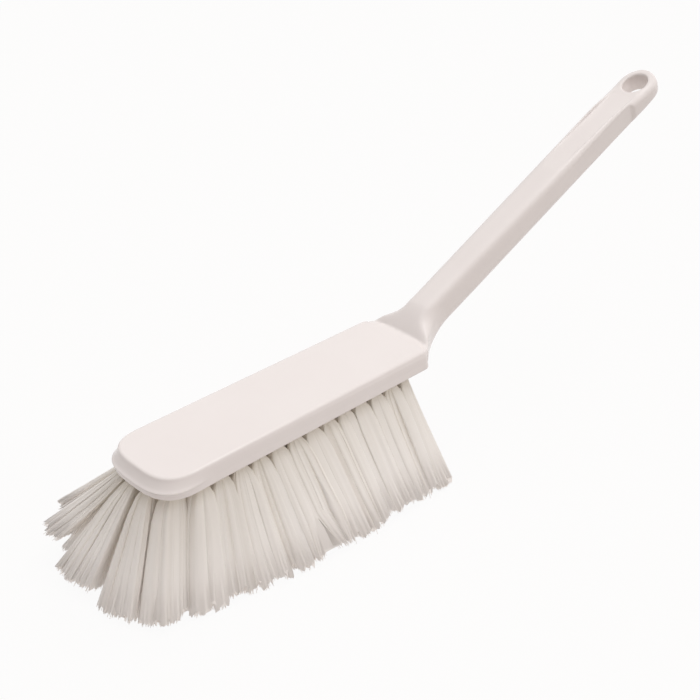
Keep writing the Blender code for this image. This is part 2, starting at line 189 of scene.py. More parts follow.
# A parting in the near bristles, which runs inward on a slant
PARTING_X = 0.0010
PARTING_Y = -0.038
PARTING_SLANT = 0.97
PARTING_HALF_WIDTH = 0.0040
PARTING_REACH = 0.013
PARTING_START_SHARE = 0.50

# Anchors, the flat metal strips that hold each tuft at the bottom of its hole
ANCHOR_WIDTH = 0.0046
ANCHOR_HEIGHT = 0.0020
ANCHOR_THICKNESS = 0.0004
ANCHOR_BEVEL = ANCHOR_THICKNESS / 4

# How finely the body is drawn
TOE_POINTS = 65
CORNER_POINTS = 12
HEEL_POINTS = 25
SIDE_POINTS = 24
EDGE_STEPS = 8
COVE_STEPS = 7
SECTION_POINTS = 72
NECK_STATIONS = 40
HANDLE_STATIONS = 24
EYE_STATIONS = 28
HOLE_SIDES = 96
TUFT_HOLE_SIDES = 24
VOXEL = 0.00045
SMOOTHING_FACTOR = 0.5
SMOOTHING_STEPS = 3
NECK_SMOOTHING_STEPS = 20
NECK_SMOOTHING_REACH = 0.022
NECK_SMOOTHING_WIDTH_SHARE = 2
NECK_SMOOTHING_LEVELS = 10
OVERRUN = 0.002

# Camera, solved from the photograph: where the heel's middle lies in it, and how far away
PICTURE_SIDE = 700
FOCAL_PIXELS = 1200.0
HEEL_PIXEL = (394.76, 334.52)
CAMERA_DISTANCE = 0.6273
CAMERA_TURN = math.radians(44.24)
CAMERA_RISE = math.radians(30.57)
SENSOR_WIDTH = 36.0
CLIP_START = 0.01

# Light of the studio: an even glow, a soft light to the right of the camera and one overhead.
# Each of the two lights is a direction, a strength and how narrow it is.
SKY_LEVEL = 0.13
SIDE_LIGHT = ((0.42, -0.84, 0.25), 0.13, 2)
TOP_LIGHT = ((0.10, -0.10, 0.985), 2.44, 4)
SIDE_COLOUR = (1, 0.80, 0.70, 1)
TOP_COLOUR = (1, 0.995, 0.995, 1)
DIFFUSE_BOUNCES = 12

# A long lamp whose reflection draws the highlights along the handle and the block's edges
EDGE_LAMP_PLACE = (0.416, -0.123, 0.874)
EDGE_LAMP_TARGET = (-0.06, -0.02, 0)
EDGE_LAMP_SIZE = (0.5, 0.06)
EDGE_LAMP_POWER = 0.7

# Floor, and how much of it glows white to the camera and in reflections, and to other rays
FLOOR_HALF_SIDE = 2.0
FLOOR_CELLS = 8
FLOOR_GAP = 0.0002
FLOOR_WHITE_SHARE = 0.93
FLOOR_GLOW_SHARE = 0.45

PLASTIC_IOR = 1.49

HEEL_X = BLOCK_LENGTH / 2
TOE_X = -BLOCK_LENGTH / 2
HALF_WIDTH = BLOCK_WIDTH / 2
TUFT_ROW_LENGTH = BLOCK_LENGTH - FIRST_TUFT_FROM_HEEL - LAST_TUFT_FROM_TIP
TUFT_PITCH = TUFT_ROW_LENGTH / (TUFTS_PER_ROW - 1 + STAGGER_SHARE)
TUFT_TIP_RADIUS = (TUFT_PITCH - TUFT_TIP_GAP) / 2
STANDING_Z = -BLOCK_HEIGHT - TUFT_REACH + CUT_DEPTH
ROOT_RADIUS = TUFT_HOLE_RADIUS - 2 * FILAMENT_RADIUS


def smooth(t):
    """0 to 1 with level ends."""
    t = min(max(t, 0.0), 1.0)
    return t * t * (3 - 2 * t)


def mix(a, b, t):
    """From a at 0 to b at 1."""
    return a + (b - a) * t


def add_object(name, data, material=None):
    """A mesh, lamp or camera as an object in the scene."""
    made = bpy.data.objects.new(name, data)
    bpy.context.scene.collection.objects.link(made)
    if material:
        data.materials.append(material)
    return made


def mesh_from(name, build):
    """A mesh of flat triangles that face outward, from a function that fills a bmesh."""
    bm = bmesh.new()
    build(bm)
    bmesh.ops.triangulate(bm, faces=bm.faces)
    bmesh.ops.recalc_face_normals(bm, faces=bm.faces)
    mesh = bpy.data.meshes.new(name)
    bm.to_mesh(mesh)
    bm.free()
    return mesh


def loft(bm, rings):
    """Skins a list of rings of equally many points and closes both ends."""
    made = [[bm.verts.new(point) for point in ring] for ring in rings]
    for low, high in zip(made, made[1:]):
        for k in range(len(low)):
            following = (k + 1) % len(low)
            bm.faces.new((low[k], low[following], high[following], high[k]))
    bm.faces.new(made[0][::-1])
    bm.faces.new(made[-1])


def applied(target):
    """Turns the object's modifiers into its mesh."""
    bpy.context.view_layer.update()
    graph = bpy.context.evaluated_depsgraph_get()
    mesh = bpy.data.meshes.new_from_object(target.evaluated_get(graph), depsgraph=graph)
    target.modifiers.clear()
    target.data = mesh


def boolean(target, operation, operand):
    """Adds the operand to the target or cuts it out, and removes it."""
    modifier = target.modifiers.new(operation.lower(), "BOOLEAN")
    modifier.operation = operation
    modifier.solver = "EXACT"
    modifier.object = operand
    applied(target)
    bpy.data.objects.remove(operand, do_unlink=True)


# Block


def heel_curve(y):
    """Where the bowed heel lies along X."""
    return HEEL_X + HEEL_BULGE * (1 - (y / HALF_WIDTH) ** 2)


def block_outline():
    """The block's outline at its top edge, anticlockwise from above, from the near heel corner."""
    radius = HEEL_CORNER_RADIUS
    turn = math.atan(2 * HEEL_BULGE / HALF_WIDTH)
    centre_y = HALF_WIDTH - radius
    centre_x = heel_curve(centre_y + radius * math.sin(turn)) - radius * math.cos(turn)
    quarter = []
    for k in range(CORNER_POINTS + 1):
        angle = mix(turn, math.pi / 2, k / CORNER_POINTS)
        quarter.append((centre_x + radius * math.cos(angle), centre_y + radius * math.sin(angle)))
    heel = []
    for k in range(1, HEEL_POINTS + 1):
        y = mix(-quarter[0][1], quarter[0][1], k / (HEEL_POINTS + 1))
        heel.append((heel_curve(y), y))
    side_start = TOE_X + TOE_LENGTH
    side = []
    for k in range(1, SIDE_POINTS + 1):
        side.append((mix(side_start, centre_x, k / (SIDE_POINTS + 1)), HALF_WIDTH))
    toe = []
    for k in range(TOE_POINTS):
        angle = mix(math.pi / 2, -math.pi / 2, k / (TOE_POINTS - 1))
        power = 2 / TOE_SQUARENESS
        across = math.copysign(abs(math.sin(angle)) ** power, angle)
        toe.append((side_start - TOE_LENGTH * math.cos(angle) ** power, HALF_WIDTH * across))
    points = [(x, -y) for x, y in quarter[::-1]] + heel + quarter
    points += side[::-1] + toe + [(x, -y) for x, y in side]
    return np.array(points)


def outward(points):
    """Unit normals of a closed outline."""
    along = np.roll(points, -1, axis=0) - np.roll(points, 1, axis=0)
    along /= np.linalg.norm(along, axis=1)[:, None]
    return np.stack([along[:, 1], -along[:, 0]], axis=1)


def block_levels(edge_radius):
    """(depth, offset at the sides, offset at the toe) of each ring, from the top down."""
    levels = []
    for k in range(EDGE_STEPS + 1):
        angle = math.pi / 2 * k / EDGE_STEPS
        offset = edge_radius * (math.sin(angle) - 1)
        levels.append((edge_radius * (1 - math.cos(angle)), offset, offset))
    for k in range(1, COVE_STEPS):
        depth = mix(edge_radius, LIP_DEPTH, k / COVE_STEPS)
        share = (depth - edge_radius) / (LIP_DEPTH - edge_radius)
        cove = (TOE_FLARE - LIP_BEAD) * share**COVE_POWER
        levels.append((depth, SIDE_FLARE * depth / BLOCK_HEIGHT, cove))
    lip_share = LIP_DEPTH / BLOCK_HEIGHT
    below_lip = LIP_DEPTH + LIP_THICKNESS
    low = BLOCK_HEIGHT - BOTTOM_EDGE_CHAMFER
    set_back = TOE_FLARE - LIP_SETBACK
    levels.append((LIP_DEPTH, SIDE_FLARE * lip_share, TOE_FLARE + LIP_BEAD / 2))
    levels.append((below_lip - LIP_THICKNESS / 2, SIDE_FLARE * lip_share, TOE_FLARE + LIP_BEAD / 2))
    levels.append((below_lip, SIDE_FLARE * below_lip / BLOCK_HEIGHT, set_back))
    levels.append((low, SIDE_FLARE, set_back))
    levels.append((BLOCK_HEIGHT, SIDE_FLARE - BOTTOM_EDGE_CHAMFER, set_back - BOTTOM_EDGE_CHAMFER))
    return levels


def block_mesh():
    """The block's outline at every level, wider at the toe."""
    outline = block_outline()
    columns = []
    for (x, y), (out_x, out_y) in zip(outline, outward(outline)):
        toe_weight = smooth((TOE_X + TOE_BLEND_LENGTH - x) / TOE_BLEND_LENGTH)
        edge_radius = mix(TOE_EDGE_RADIUS, HEEL_EDGE_RADIUS, smooth((x - TOE_X) / BLOCK_LENGTH))
        column = []
        for depth, at_sides, at_toe in block_levels(edge_radius)[::-1]:
            offset = mix(at_sides, at_toe, toe_weight)
            column.append((x + out_x * offset, y + out_y * offset, -depth))
        columns.append(column)
    return mesh_from("block", lambda bm: loft(bm, list(zip(*columns))))


# Handle

ALONG = Vector((math.cos(HANDLE_RISE), 0, math.sin(HANDLE_RISE)))
UP = Vector((-math.sin(HANDLE_RISE), 0, math.cos(HANDLE_RISE)))
FOOT = Vector((HEEL_X, 0, HANDLE_TOP_ABOVE_HEEL))
ACROSS = Vector((0, 1, 0))


def eye_share(distance):
    """0 along the straight handle, and 1 at the tip of the eye."""
    length = EYE_ROUNDING_LENGTH + EYE_END_RADIUS
    return smooth((distance - HANDLE_LENGTH + EYE_ROUNDING_LENGTH) / length)


def droop_share(distance):
    """0 along the straight handle, and 1 from the hanging hole on."""
    length = EYE_DROOP_LENGTH - HOLE_HALF_LENGTH / 2
    return smooth((distance - HANDLE_LENGTH + EYE_DROOP_LENGTH) / length)


def half_width_at(distance):
    straight = mix(NECK_HALF_WIDTH, OUTER_HALF_WIDTH, distance / HANDLE_LENGTH)
    widening = smooth((distance - HANDLE_LENGTH + EYE_ROUNDING_LENGTH) / EYE_ROUNDING_LENGTH)
    return mix(straight, EYE_HALF_WIDTH, widening)


def half_thickness_at(distance):
    return mix(NECK_HALF_THICKNESS, OUTER_HALF_THICKNESS, distance / HANDLE_LENGTH)


def section(top, bottom, half_width, shoulder=0.0, squareness=NECK_SQUARENESS):
    """A squarish round section between a top and a bottom point, widened low down by a shoulder."""
    centre = (top + bottom) / 2
    up = (top - bottom) / 2
    height = up.length * 2
    points = []
    for k in range(SECTION_POINTS):
        angle = math.tau * (k + 0.5) / SECTION_POINTS
        power = 2 / squareness
        share_y = math.copysign(abs(math.cos(angle)) ** power, math.cos(angle))
        share_z = math.copysign(abs(math.sin(angle)) ** power, math.sin(angle))
        over_bottom = height * (share_z + 1) / 2
        fade_height = SHOULDER_FADE_HEIGHT - SHOULDER_FULL_HEIGHT
        fade = (over_bottom - SHOULDER_FULL_HEIGHT) / fade_height
        width = half_width + shoulder * (1 - smooth(fade))
        points.append(centre + ACROSS * width * share_y + up * share_z)
    return points


def neck_station(x):
    """The section that starts at the top this far behind the heel line."""
    slope = math.tan(HANDLE_RISE)
    top_line = HANDLE_TOP_ABOVE_HEEL + x * slope
    eased = min(max((x - FOOT_START) / FOOT_LENGTH, 0), 1)
    sunk = HANDLE_TOP_ABOVE_HEEL + FOOT_START * slope + FOOT_SUNK
    top = Vector((HEEL_X + x, 0, max(top_line - sunk * (1 - eased) ** FOOT_EASE_POWER, -FOOT_SUNK)))
    distance = x / math.cos(HANDLE_RISE)
    thickness = 2 * half_thickness_at(distance)
    tilt = smooth(x / (NECK_LENGTH * NECK_TILT_SHARE))
    bottom_x = x + thickness * math.sin(HANDLE_RISE) * tilt
    line = HANDLE_TOP_ABOVE_HEEL + bottom_x * slope - thickness / math.cos(HANDLE_RISE)
    lowest = HEEL_COVER - BLOCK_HEIGHT
    bottom_z = (line + lowest + math.hypot(line - lowest, HEEL_FILLET)) / 2
    bottom = Vector((HEEL_X + bottom_x, 0, bottom_z))
    beside = mix(x, bottom_x, SHOULDER_PLACE_SHARE)
    share = max(1 - beside / SHOULDER_LENGTH, 0)
    squareness = mix(NECK_SQUARENESS, SHOULDER_SQUARENESS, share**2)
    return section(top, bottom, half_width_at(distance), SHOULDER_WIDTH * share**2, squareness)


def handle_station(distance, half_width=None):
    """The section that starts at the top this far along the handle."""
    rounding = eye_share(distance)
    top = FOOT + ALONG * distance
    bottom = top - UP * 2 * half_thickness_at(distance)
    squareness = mix(NECK_SQUARENESS, EYE_SQUARENESS, rounding)
    top -= UP * EYE_DROOP * droop_share(distance)
    bottom += UP * EYE_RAISE * rounding
    return section(top, bottom, half_width or half_width_at(distance), 0, squareness)


def handle_mesh():
    """From a foot sunk in the block, up the neck and along the handle to the rounded end."""
    rings = [
        section(
            Vector((HEEL_X - FOOT_START, 0, -FOOT_SUNK)),
            Vector((HEEL_X - FOOT_START, 0, HEEL_COVER - BLOCK_HEIGHT)),
            NECK_HALF_WIDTH,
            SHOULDER_WIDTH / 2,
        )
    ]
    for k in range(NECK_STATIONS):
        rings.append(neck_station(mix(NECK_START, NECK_LENGTH, k / (NECK_STATIONS - 1))))
    start = NECK_LENGTH / math.cos(HANDLE_RISE)
    for k in range(1, HANDLE_STATIONS + 1):
        rings.append(handle_station(mix(start, HANDLE_LENGTH, k / HANDLE_STATIONS)))
    for k in range(1, EYE_STATIONS + 1):
        angle = EYE_TIP_ANGLE * k / EYE_STATIONS
        power = 2 / EYE_END_SQUARENESS
        distance = HANDLE_LENGTH + EYE_END_RADIUS * math.sin(angle) ** power
        rings.append(handle_station(distance, EYE_HALF_WIDTH * math.cos(angle) ** power))
    return mesh_from("handle", lambda bm: loft(bm, rings))


def along_handle(distance, across, up):
    """A place on the handle: distance along its top line, across it, and above it."""
    return FOOT + ALONG * distance + ACROSS * across + UP * up


def hanging_hole_cutter():
    """An oval bore that narrows downward, with a small chamfer at each face."""
    sunk = EYE_DROOP * droop_share(HANDLE_LENGTH)
    thickness = 2 * half_thickness_at(HANDLE_LENGTH) - EYE_RAISE * eye_share(HANDLE_LENGTH)
    levels = (
        (OVERRUN - sunk, HOLE_CHAMFER + OVERRUN),
        (-HOLE_CHAMFER - sunk, 0),
        (HOLE_CHAMFER - thickness, -BORE_DRAFT),
        (-thickness - OVERRUN, HOLE_CHAMFER + OVERRUN - BORE_DRAFT),
    )
    rings = []
    for up, wider in levels:
        ring = []
        for k in range(HOLE_SIDES):
            angle = math.tau * k / HOLE_SIDES
            along = HANDLE_LENGTH + (HOLE_HALF_LENGTH + wider) * math.cos(angle)
            ring.append(along_handle(along, (HOLE_HALF_WIDTH + wider) * math.sin(angle), up))
        rings.append(ring)
    return add_object("hanging_hole_cut", mesh_from("hanging_hole_cut", lambda bm: loft(bm, rings)))


def scoop_cutter(side):
    """A wedge that thins the handle's side toward the eye, where it ends in a short ramp."""
    step = HANDLE_LENGTH - SCOOP_FROM_HOLE
    start = step - SCOOP_LENGTH
    outer = half_width_at(HANDLE_LENGTH) + OVERRUN
    stations = (
        (start, 0),
        (step, SCOOP_DEPTH),
        (step + SCOOP_RAMP, 0),
        (step + 2 * SCOOP_RAMP, -SCOOP_DEPTH),
    )
    rings = []
    for distance, depth in stations:
        inner = half_width_at(distance) - depth
        middle = -half_thickness_at(distance)
        near, far = SCOOP_HALF_HEIGHT, SCOOP_HALF_HEIGHT + OVERRUN
        corners = ((inner, -near), (inner, near), (outer, far), (outer, -far))
        ring = [along_handle(distance, side * across, middle + up) for across, up in corners]
        rings.append(ring)
    return add_object("scoop_cut", mesh_from("scoop_cut", lambda bm: loft(bm, rings)))


def trough_cutter():
    """A shallow flat trough in the handle's top, deepest near the hole and ending at its rim."""
    start = HANDLE_LENGTH - TROUGH_LENGTH
    end = HANDLE_LENGTH - HOLE_HALF_LENGTH / 2
    bend = end - HOLE_HALF_LENGTH
    stations = (
        (start, 0, half_width_at(start) - TROUGH_RIM),
        (bend, TROUGH_DEPTH, half_width_at(bend) - TROUGH_RIM),
        (end, 0, HOLE_HALF_WIDTH * TROUGH_END_SHARE),
    )
    rings = []
    for distance, depth, half_width in stations:
        bed = -depth - EYE_DROOP * droop_share(distance)
        corners = ((-1, bed), (1, bed), (1, OVERRUN), (-1, OVERRUN))
        rings.append([along_handle(distance, across * half_width, up) for across, up in corners])
    return add_object("trough_cut", mesh_from("trough_cut", lambda bm: loft(bm, rings)))


# Tufts


def tuft_places():
    """(name, x, y) of each tuft where it leaves the block's underside."""
    places = []
    rows = (("outer_near", -OUTER_ROW_Y, 0), ("inner_near", -INNER_ROW_Y, STAGGER_SHARE))
    rows += (("inner_far", INNER_ROW_Y, STAGGER_SHARE), ("outer_far", OUTER_ROW_Y, 0))
    for row, y, stagger in rows:
        for k in range(TUFTS_PER_ROW):
            x = HEEL_X - FIRST_TUFT_FROM_HEEL - TUFT_PITCH * (k + stagger)
            places.append((f"tuft_{row}_{k + 1:02d}", x, y))
    places.append(("tuft_toe_outer_near", TOE_X + TOE_OUTER_FROM_TIP, -TOE_OUTER_Y))
    places.append(("tuft_toe_inner_near", TOE_X + TOE_INNER_FROM_TIP, -TOE_INNER_Y))
    places.append(("tuft_toe_inner_far", TOE_X + TOE_INNER_FROM_TIP, TOE_INNER_Y))
    places.append(("tuft_toe_outer_far", TOE_X + TOE_OUTER_FROM_TIP, TOE_OUTER_Y))
    return places


def tuft_direction(x, y):
    """Unit direction of the tuft rooted at (x, y): fanned to the sides, and forward at the toe."""
    from_heel = (HEEL_X - x) / BLOCK_LENGTH
    toe = smooth((from_heel - TOE_LEAN_START_SHARE) / (1 - TOE_LEAN_START_SHARE))
    v = y / HALF_WIDTH
    backward = mix(HEEL_LEAN_SHARE, MIDDLE_LEAN_SHARE, smooth(from_heel / TOE_LEAN_START_SHARE))
    lean_x = mix(backward, -(TOE_LEAN_SHARE + TOE_LEAN_TWIST_SHARE * v), toe)
    constant, linear, square = TOE_SIDE_LEAN_SHARES
    lean_y = SIDE_LEAN_SHARE * v + toe * (constant + linear * v + square * v * v)
    return Vector((lean_x, lean_y, -1)).normalized()


def tuft_matrix(x, y):
    """Local Z runs down the tuft from its root at the block's underside."""
    turn = Vector((0, 0, 1)).rotation_difference(tuft_direction(x, y)).to_matrix().to_4x4()
    return Matrix.Translation((x, y, -BLOCK_HEIGHT)) @ turn


def tuft_holes_cutter():
    """All the tuft holes as one cutter: they don't touch each other."""

    def build(bm):
        for _, x, y in tuft_places():
            middle = Matrix.Translation((0, 0, OVERRUN - TUFT_HOLE_DEPTH / 2))
            bmesh.ops.create_cone(
                bm,
                cap_ends=True,
                segments=TUFT_HOLE_SIDES,
                radius1=TUFT_HOLE_RADIUS,
                radius2=TUFT_HOLE_RADIUS,
                depth=TUFT_HOLE_DEPTH + 2 * OVERRUN,
                matrix=tuft_matrix(x, y) @ middle,
            )

    return add_object("tuft_holes_cut", mesh_from("tuft_holes_cut", build))


def square_points(chance, count):
    """Points spread evenly over the square from -1 to 1, each a little out of place."""
    even = (chance.random(2) + np.arange(count)[:, None] * EVEN_STEPS) % 1 * 2 - 1
    return np.clip(even + chance.normal(0, EVEN_JITTER / math.sqrt(count), (count, 2)), -1, 1)


def into_disc(points):
    """Points of the square from -1 to 1, drawn in to the unit disc."""
    return points * np.sqrt(1 - points[:, ::-1] ** 2 / 2)


def tubes(points):
    """Vertices and faces of closed tubes, from an array of shape (tubes, rows, sides, 3)."""
    count, rows, sides, _ = points.shape
    base = (np.arange(count) * rows * sides)[:, None]
    around = np.arange(sides)
    following = (around + 1) % sides
    faces = []
    for row in range(rows - 1):
        low, high = base + row * sides, base + (row + 1) * sides
        corners = (low + around, low + following, high + following, high + around)
        faces += np.stack(corners, axis=2).reshape(-1, 4).tolist()
    faces += (base + (rows - 1) * sides + around).tolist()
    faces += (base + around[::-1]).tolist()
    return points.reshape(-1, 3), faces


def trimmed(points):
    """Draws the last row of each tube back to the plane that the broom stands on, if lower."""
    before, end = points[:, -2], points[:, -1]
    drop = np.maximum(before[..., 2] - end[..., 2], LEAST_DROP)
    share = (before[..., 2] - STANDING_Z) / drop
    points[:, -1] = before + (end - before) * np.minimum(share, 1)[..., None]
    return points


def tuft_reach(x, y):
    """The middle of the tuft's far end, from its root."""
    direction = np.array(tuft_direction(x, y))
    return direction * min(STRAND_LENGTH, TUFT_REACH / -direction[2])


def fan_at(x, y):
    """How far apart two tufts' ends stand, per metre between their roots, along X and along Y."""
    columns = []
    for step_x, step_y in ((FAN_STEP, 0), (0, FAN_STEP)):
        ahead = tuft_reach(x + step_x, y + step_y) - tuft_reach(x - step_x, y - step_y)
        columns.append(ahead[:2] / (2 * FAN_STEP) + np.array((step_x, step_y)) / FAN_STEP)
    return np.stack(columns, axis=1)


def lock_centres(locks, chance):
    """Middles of a tuft's locks in the square from -1 to 1, in rows and a little out of place."""
    middles = [(np.arange(count) + 0.5) / count * 2 - 1 for count in locks]
    cells = np.stack(np.meshgrid(*middles), axis=2).reshape(-1, 2)
    return cells + chance.normal(0, LOCK_JITTER, cells.shape) / locks


def lock_rim():
    """A rounded square round the origin, 1 in half width."""
    around = math.tau * (np.arange(LOCK_SIDES) + 0.5) / LOCK_SIDES
    rim = np.stack([np.cos(around), np.sin(around)], axis=1)
    return rim / np.linalg.norm(rim, ord=LOCK_SQUARENESS, axis=1)[:, None]


def parted(place, share):
    """How far places on the near side are pushed along X, away from the parting."""
    beside = place[..., 0] - PARTING_X - PARTING_SLANT * (place[..., 1] - PARTING_Y)
    fade = np.clip(1 - np.abs(beside) / PARTING_REACH, 0, 1)
    opened = smooth((share - PARTING_START_SHARE) / (1 - PARTING_START_SHARE))
    return np.sign(beside) * PARTING_HALF_WIDTH * fade * opened


def tuft_mesh(name, parts, shares):
    """Joins the filaments and then the cores, whose sides alone are shaded smooth.

    Each part is an array of points for tubes(), and a shade from 0 to 1 for each point.
    """
    verts, faces, from_root, strand = [], [], [], []
    for points, shade in parts:
        made, joined = tubes(points)
        first = sum(len(before) for before in verts)
        faces += [[first + corner for corner in face] for face in joined]
        verts.append(made)
        shape = points.shape[:3]
        from_root.append(np.broadcast_to(shares[None, :, None], shape).ravel())
        strand.append(np.broadcast_to(shade, shape).ravel())
    mesh = bpy.data.meshes.new(name)
    mesh.from_pydata(np.concatenate(verts).tolist(), [], faces)
    count, rows, sides = parts[-1][0].shape[:3]
    last_side = len(faces) - 2 * count
    smooth_faces = np.zeros(len(faces), bool)
    smooth_faces[last_side - count * (rows - 1) * sides : last_side] = True
    mesh.polygons.foreach_set("use_smooth", smooth_faces)
    for key, values in (("from_root", from_root), ("strand", strand)):
        attribute = mesh.attributes.new(key, "FLOAT", "POINT")
        attribute.data.foreach_set("value", np.concatenate(values).astype(np.float32))
    return mesh


def filament_tuft(name, x, y, chance, material):
    """A bundle of filaments: straight in its hole, then spread to meet its neighbours.

    They stand in locks that are cut unevenly, each with a core among its filaments.
    """
    reach = tuft_reach(x, y)
    length = np.linalg.norm(reach)
    fan = fan_at(x, y)
    stretch = np.linalg.norm(fan, axis=0)
    at_toe = "toe" in name
    # The first tuft of each row ends straight toward the heel instead of bulging out
    at_heel = x > HEEL_X - FIRST_TUFT_FROM_HEEL - TUFT_PITCH
    side_radius = TOE_SIDE_RADIUS if at_toe else TUFT_SIDE_RADIUS
    tile = np.array((TUFT_TIP_RADIUS, side_radius)) * TILE_SHARE
    # The fan widens an outer tuft too much: it is drawn in, and moved to stay by the inner one
    outer = abs(y) > (OUTER_ROW_Y + INNER_ROW_Y) / 2
    drawn_in = (1 - TUFT_TIP_RADIUS / (tile[1] * stretch[1])) / 2 if outer else 0
    spread_out = tile * (1, 1 - drawn_in)
    moved_in = tile * (0, -drawn_in * math.copysign(1, y))
    locks = np.maximum(np.rint(spread_out * stretch / LOCK_HALF_WIDTH), 1).astype(int)
    core_share = mix(CORE_SHARE, TOE_CORE_SHARE, smooth(stretch[1] - TOE_CORE_STRETCH))

    count = FILAMENTS_PER_TUFT
    spread = square_points(chance, count)
    centres = lock_centres(locks, chance)
    nearest = np.argmin(np.linalg.norm((spread[:, None] - centres[None]) * locks, axis=2), axis=1)
    lock = centres[nearest]
    tip = lock + (spread - lock) * LOCK_TIGHTNESS
    tip[chance.random(count) < STRAY_SHARE] *= STRAY_SPREAD
    lock_cut = LOCK_CUT_SPREAD * chance.random(len(centres))
    lock_bow = chance.normal(0, BOW, (len(centres), 2))
    cut = lock_cut[nearest] + FILAMENT_CUT_SPREAD * chance.random(count) ** 2
    bow = lock_bow[nearest] + chance.normal(0, BOW / 2, (count, 2))
    outward_angle = math.atan2(reach[1] + y, reach[0] * OUTWARD_ALONG_SHARE)
    turn = outward_angle + math.pi / FILAMENT_SIDES + chance.normal(0, TURN_SPREAD, count)
    shade = chance.random(count)
    around = turn[:, None] + math.tau * np.arange(FILAMENT_SIDES) / FILAMENT_SIDES
    corner = np.stack([np.cos(around), np.sin(around)], axis=2) * FILAMENT_RADIUS

    core_size = (len(centres), LOCK_SIDES)
    ripple = 1 + chance.normal(0, LOCK_RIPPLE, (*core_size, 1))
    core_tip = centres[:, None] + lock_rim() / locks * ripple * core_share
    core_root = into_disc(np.clip(core_tip, -1, 1))
    core_shade = (chance.random(len(centres))[:, None] + chance.random(core_size)) / 2
    core_cut = lock_cut[:, None] + CORE_SHORTER + CORE_CUT_SPREAD * chance.random(core_size)

    def placed(root, tip, bow, share, cut):
        """The points of one row: a share of the way down the tuft, and spread out as far."""
        toward_heel = (tip[..., :1] > 0) & at_heel
        flare = 1 - (1 - share) ** np.where(toward_heel, HEEL_FLARE_POWER, FLARE_POWER)
        tip = (tip * spread_out + moved_in) @ mix(np.eye(2), fan, share).T
        place = np.zeros((*root.shape[:-1], 3))
        place[..., :2] = mix(root * ROOT_RADIUS, tip, flare) + bow * 4 * share * (1 - share)
        place += reach * (share * (1 - cut / length))[..., None] + np.array((x, y, -BLOCK_HEIGHT))
        if y < 0:
            place[..., 0] += parted(place, share)
        return place

    shares = (np.arange(FILAMENT_STEPS + 1) / FILAMENT_STEPS) ** STEP_POWER
    inside = np.array(tuft_direction(x, y)) * (ANCHOR_HEIGHT - TUFT_HOLE_DEPTH)
    root = into_disc(spread)
    lines = np.stack([placed(root, tip, bow, share, cut) for share in shares], axis=1)
    core_bow = lock_bow[:, None]
    cores = [placed(core_root, core_tip, core_bow, share, core_cut) for share in shares]
    cores = np.stack(cores, axis=1)
    lines = np.concatenate([lines[:, :1] + inside, lines], axis=1)
    cores = np.concatenate([cores[:, :1] + inside, cores], axis=1)
    shares = np.concatenate([[0], shares])

    filaments = np.repeat(lines[:, :, None], FILAMENT_SIDES, axis=2)
    thin = mix(1, FILAMENT_TIP_SHARE, shares)
    filaments[..., :2] += corner[:, None] * thin[:, None, None]
    parts = (
        (trimmed(filaments), shade[:, None, None]),
        (trimmed(cores), core_shade[:, None]),
    )
    return add_object(name, tuft_mesh(name, parts, shares), material)


def anchors(name, material):
    """One thin metal strip across the bottom of each tuft hole."""

    def build(bm):
        for _, x, y in tuft_places():
            sunk = Matrix.Translation((0, 0, ANCHOR_HEIGHT / 2 - TUFT_HOLE_DEPTH))
            size = Matrix.Diagonal((ANCHOR_WIDTH, ANCHOR_THICKNESS, ANCHOR_HEIGHT, 1))
            matrix = tuft_matrix(x, y) @ sunk @ size
            made = bmesh.ops.create_cube(bm, size=1, matrix=matrix)["verts"]
            edges = list(dict.fromkeys(edge for vert in made for edge in vert.link_edges))
            bmesh.ops.bevel(bm, geom=edges, offset=ANCHOR_BEVEL, segments=2, affect="EDGES")

    return add_object(name, mesh_from(name, build), material)


# Materials


class Nodes:
    """A material's node tree, with short ways to add and join nodes."""

    def __init__(self, name):
        self.material = bpy.data.materials.new(name)
        self.material.use_nodes = True
        self.tree = self.material.node_tree
        self.shader = self.tree.nodes["Principled BSDF"]

    def add(self, kind, **settings):
        node = self.tree.nodes.new(kind)
        for key, value in settings.items():
            setattr(node, key, value)
        return node

    def join(self, source, target):
        self.tree.links.new(source, target)

    def noise(self, scale, detail):
        """Noise over the object's own place."""
        where = self.add("ShaderNodeTexCoord")
        texture = self.add("ShaderNodeTexNoise")
        texture.inputs["Scale"].default_value = scale
        texture.inputs["Detail"].default_value = detail
        self.join(where.outputs["Object"], texture.inputs["Vector"])
        return texture.outputs["Fac"]

    def ramp(self, fac, *stops):
        """A colour from stops, each a place from 0 to 1 and a colour."""
        node = self.add("ShaderNodeValToRGB")
        elements = node.color_ramp.elements
        while len(elements) < len(stops):
            elements.new(0.5)
        for element, (place, colour) in zip(elements, stops):
            element.position = place
            element.color = (*colour, 1)
        self.join(fac, node.inputs["Fac"])
        return node.outputs["Color"]

    def span(self, value, low, high, from_low=0.0, from_high=1.0):
        """The value, with the range it comes in turned into low to high."""
        node = self.add("ShaderNodeMapRange")
        node.inputs["From Min"].default_value = from_low
        node.inputs["From Max"].default_value = from_high
        node.inputs["To Min"].default_value = low
        node.inputs["To Max"].default_value = high
        self.join(value, node.inputs["Value"])
        return node.outputs["Result"]

    def multiply(self, a, b):
        node = self.add("ShaderNodeMix", data_type="RGBA", blend_type="MULTIPLY")
        node.inputs["Factor"].default_value = 1
        self.join(a, node.inputs["A"])
        self.join(b, node.inputs["B"])
        return node.outputs["Result"]

    def bump(self, height, distance, strength):
        node = self.add("ShaderNodeBump")
        node.inputs["Distance"].default_value = distance
        node.inputs["Strength"].default_value = strength
        self.join(height, node.inputs["Height"])
        self.join(node.outputs["Normal"], self.shader.inputs["Normal"])


